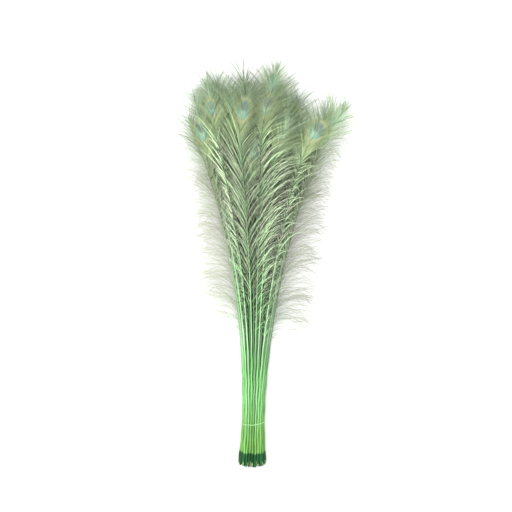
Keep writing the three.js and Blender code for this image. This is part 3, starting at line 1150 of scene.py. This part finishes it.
# millimetres from the cut end
STEM_RANGE = (30.0, 150.0)
BRIGHT_STEM_RANGE = (180.0, 260.0)
UPPER_SHAFT_RANGE = (330.0, 520.0)
DARKENING_RANGE = (150.0, 240.0)
DIPPED_RANGE = (27.0, 31.0)
INSIDE_RANGE = (-4.9, -2.5)
STEM_DARKNESS = 0.34
UPPER_DARKNESS = 0.6
DARKEST_TONE = 0.26
TONE_STRENGTH = 1.28
DIP_UNEVEN = 7.0


def shaft_material():
    material, ink, surface = new_finish("dyed_shaft_painted_shade")
    reach, tone, gloom = ink.attribute("strand")
    reach_mm = reach / MM
    colour = reach_mm.rises(*STEM_RANGE).blend(QUILL_DYE, STEM_DYE)
    colour = reach_mm.rises(*BRIGHT_STEM_RANGE).blend(colour, BRIGHT_STEM_DYE)
    colour = reach_mm.rises(*UPPER_SHAFT_RANGE).blend(colour, UPPER_SHAFT_DYE)
    # Painted shade: gloom darkens the shaft, more so farther from the cut end.
    darkness = STEM_DARKNESS + reach_mm.rises(*DARKENING_RANGE) * UPPER_DARKNESS
    colour = colour.tinted((DARKEST_TONE + tone * TONE_STRENGTH) * (1 - gloom * darkness))
    dipped = 1 - (reach_mm + tone * DIP_UNEVEN).rises(*DIPPED_RANGE)
    colour = dipped.blend(colour, tone.blend(DIPPED_DARK_DYE, DIPPED_DYE))
    inside = 1 - reach_mm.rises(*INSIDE_RANGE)
    colour = inside.blend(colour, INSIDE_DYE)
    feed(surface, "Base Color", colour)
    surface.inputs["Roughness"].default_value = 0.4
    surface.inputs["Specular IOR Level"].default_value = 0.2
    return material


shaft_finish = shaft_material()
print(f"{shaft_finish.name}: {len(shaft_finish.node_tree.nodes)} nodes")

# %% [markdown]
# ## All the feathers
# Every feather has its own seed, so each grows the same way every time, and no two grow alike.

# %% Grow all feathers
plumes = [grow_feather(feather, shaft_finish, barb_finish) for feather in feathers]
triangle_counts = [len(plume.data.polygons) for plume in plumes]
print(f"{sum(triangle_counts)} triangles in all, {max(triangle_counts)} in the fullest feather")

# %% [markdown]
# ## The thread
# A pale thread is wound twice round the quills. Its path is the tight belt round all of them: for every
# direction, the outermost quill decides how far out the thread lies.

# %% Thread
THREAD_DYE = dye(172, 222, 162)
THREAD_RADIUS = 0.4 * MM
THREAD_TURNS = 2
THREAD_STEPS = 150
THREAD_SIDES = 6
THREAD_BOW = 8.5
THREAD_BOW_MIDDLE = -5 * MM
TURN_STEP = 0.75 * MM


def thread_path():
    """Points of the wound thread, one turn after the other."""
    quills = np.array([skeletons[name][0][TIE_RING] for name in feather_names])
    angles = np.linspace(0, 2 * math.pi, THREAD_STEPS, endpoint=False)
    facing = np.stack([np.cos(angles), np.sin(angles)], axis=1)
    reach = (quills[:, [0, 2]] @ facing.T).max(axis=0) + QUILL_RADIUS + THREAD_RADIUS
    after, next_facing = np.roll(reach, -1), np.roll(facing, -1, axis=0)
    x = (reach * next_facing[:, 1] - after * facing[:, 1]) / math.sin(angles[1])
    z = (after * facing[:, 0] - reach * next_facing[:, 0]) / math.sin(angles[1])
    wound = np.arange(THREAD_STEPS * THREAD_TURNS) / THREAD_STEPS - THREAD_TURNS / 2
    x, z = np.tile(x, THREAD_TURNS), np.tile(z, THREAD_TURNS)
    z = np.maximum(z, THREAD_RADIUS)
    bow = THREAD_BOW * (x - quills[:, 0].mean() - THREAD_BOW_MIDDLE) ** 2
    return np.stack([x, quills[:, 1].mean() + bow + wound * TURN_STEP, z], axis=1)


def draw_thread(path):
    """A thin round thread, extruded from a circle along its path."""
    bm = bmesh.new()
    ring = bmesh.ops.create_circle(bm, cap_ends=True, segments=THREAD_SIDES, radius=THREAD_RADIUS)["verts"]
    frames = []
    for point, run in zip(path, np.gradient(path, axis=0)):
        turn = Vector(run).to_track_quat("Z", "Y").to_matrix().to_4x4()
        frames.append(Matrix.Translation(point) @ turn)
    bmesh.ops.transform(bm, matrix=frames[0], verts=ring)
    edges = bm.edges[:]
    for before, after in zip(frames, frames[1:]):
        grown = bmesh.ops.extrude_edge_only(bm, edges=edges)["geom"]
        edges = [e for e in grown if isinstance(e, bmesh.types.BMEdge)]
        ring = [v for v in grown if isinstance(v, bmesh.types.BMVert)]
        bmesh.ops.transform(bm, matrix=after @ before.inverted(), verts=ring)
    bmesh.ops.contextual_create(bm, geom=edges)
    bmesh.ops.recalc_face_normals(bm, faces=bm.faces[:])
    mesh = bpy.data.meshes.new("wound_thread")
    bm.to_mesh(mesh)
    bm.free()
    mesh.shade_smooth()
    return mesh


def thread_material():
    material, _, surface = new_finish("pale_thread")
    surface.inputs["Base Color"].default_value = THREAD_DYE
    surface.inputs["Roughness"].default_value = 0.7
    return material


thread_mesh = draw_thread(thread_path())
thread_mesh.materials.append(thread_material())
thread = bpy.data.objects.new("wound_thread", thread_mesh)
bpy.context.scene.collection.objects.link(thread)
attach(thread, "root")
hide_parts("tie_thread")
print(f"thread of {len(thread_mesh.polygons)} faces")
